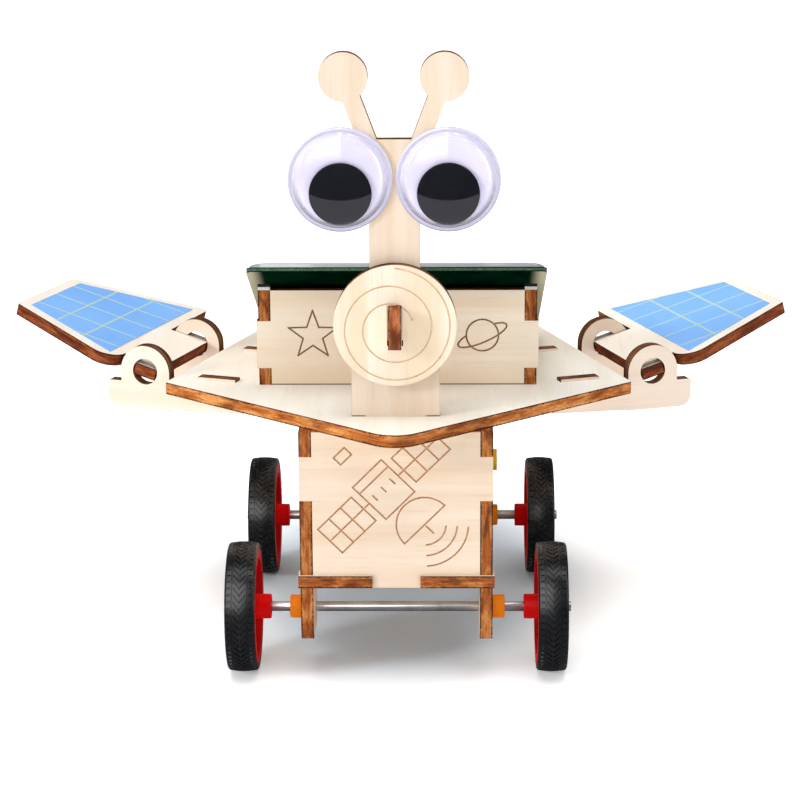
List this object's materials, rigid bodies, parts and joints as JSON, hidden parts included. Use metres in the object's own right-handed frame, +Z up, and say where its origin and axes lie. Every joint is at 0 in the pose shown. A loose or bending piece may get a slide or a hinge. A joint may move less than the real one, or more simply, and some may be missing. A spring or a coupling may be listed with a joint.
{
  "type": "solar robot kit",
  "caption": "Laser-cut plywood toy robot on wheels with a kite-shaped deck, hinged side wings, googly-eyed neck plate with antennas, and a sloping solar panel that drives the rear axle.",
  "frame": {"origin": "on the ground plane under the tyres, on the plane of symmetry, below the middle of the deck plate's length", "axes": "+X to the right as seen by someone facing the robot, +Y backwards from the face to the tail, +Z up; the robot looks and drives towards -Y"},
  "size_m": [0.1654, 0.15, 0.1254],
  "materials": {
    "plywood": "matte",
    "wing_print": "printed film",
    "green_board": "solder mask",
    "cell_resin": "polished resin over dark cells",
    "white_foam": "foam tape",
    "eye_white": "satin",
    "clear_plastic": "polished",
    "pupil_black": "polished",
    "axle_steel": "polished",
    "collar_orange": "satin",
    "rim_red": "moulded",
    "tyre_black": "matte",
    "can_steel": "satin",
    "magnet_grey": "matte",
    "cap_yellow": "moulded",
    "terminal_brass": "satin",
    "gear_white": "moulded",
    "wire_red": "satin",
    "wire_black": "satin"
  },
  "bodies": {
    "robot_frame": {"deck_plate": "plywood", "chassis_front_plate": "plywood", "chassis_rear_plate": "plywood", "chassis_left_side": "plywood", "chassis_right_side": "plywood", "chassis_bottom_plate": "plywood", "motor_bulkhead": "plywood", "box_front_plate": "plywood", "box_left_side": "plywood", "box_right_side": "plywood", "neck_plate": "plywood", "nose_disc": "plywood", "nose_peg": "plywood", "left_front_arm": "plywood", "left_rear_arm": "plywood", "right_front_arm": "plywood", "right_rear_arm": "plywood", "panel_board": "green_board", "panel_cells": "cell_resin", "panel_tape": "white_foam", "left_eye_back": "eye_white", "left_eye_dome": "clear_plastic", "right_eye_back": "eye_white", "right_eye_dome": "clear_plastic", "motor_can": "can_steel", "motor_magnets": "magnet_grey", "motor_end_cap": "cap_yellow", "motor_terminals": "terminal_brass", "red_wire": "wire_red", "black_wire": "wire_black"},
    "front_wheelset": {"front_axle": "axle_steel", "front_collars": "collar_orange", "front_left_rim": "rim_red", "front_right_rim": "rim_red", "front_left_tyre": "tyre_black", "front_right_tyre": "tyre_black"},
    "rear_wheelset": {"rear_axle": "axle_steel", "rear_collars": "collar_orange", "rear_left_rim": "rim_red", "rear_right_rim": "rim_red", "rear_left_tyre": "tyre_black", "rear_right_tyre": "tyre_black", "axle_gear": "gear_white"},
    "motor_rotor": {"motor_rotor": "axle_steel", "pinion": "gear_white"},
    "left_wing": {"left_wing_plate": "plywood", "left_wing_film": "wing_print"},
    "right_wing": {"right_wing_plate": "plywood", "right_wing_film": "wing_print"},
    "left_pupil": {"left_pupil": "pupil_black"},
    "right_pupil": {"right_pupil": "pupil_black"}
  },
  "joints": [
    {"name": "front_axle_spin", "type": "hinge", "parent": "robot_frame", "child": "front_wheelset", "pos_m": [0, -0.0552, 0.0131], "axis": [1, 0, 0], "continuous": true},
    {"name": "rear_axle_spin", "type": "hinge", "parent": "robot_frame", "child": "rear_wheelset", "pos_m": [0, 0.0058, 0.0131], "axis": [1, 0, 0], "continuous": true},
    {"name": "motor_spin", "type": "hinge", "parent": "robot_frame", "child": "motor_rotor", "pos_m": [0, 0.0058, 0.0261], "axis": [1, 0, 0], "continuous": true},
    {"name": "left_wing_hinge", "type": "hinge", "parent": "robot_frame", "child": "left_wing", "pos_m": [-0.05252, -0.02731, 0.0553], "axis": [0.3167, 0.9485, 0], "range_deg": [-22, 74.5]},
    {"name": "right_wing_hinge", "type": "hinge", "parent": "robot_frame", "child": "right_wing", "pos_m": [0.05252, -0.02731, 0.0553], "axis": [0.3167, -0.9485, 0], "range_deg": [-22, 74.5]},
    {"name": "left_pupil_roll", "type": "hinge", "parent": "robot_frame", "child": "left_pupil", "pos_m": [-0.0103, -0.0613, 0.1013], "axis": [0, -1, 0], "continuous": true},
    {"name": "right_pupil_roll", "type": "hinge", "parent": "robot_frame", "child": "right_pupil", "pos_m": [0.0103, -0.0613, 0.1013], "axis": [0, -1, 0], "continuous": true}
  ],
  "couplings": [
    {"joint": "motor_spin", "follows": "rear_axle_spin", "ratio": -3.3333}
  ]
}
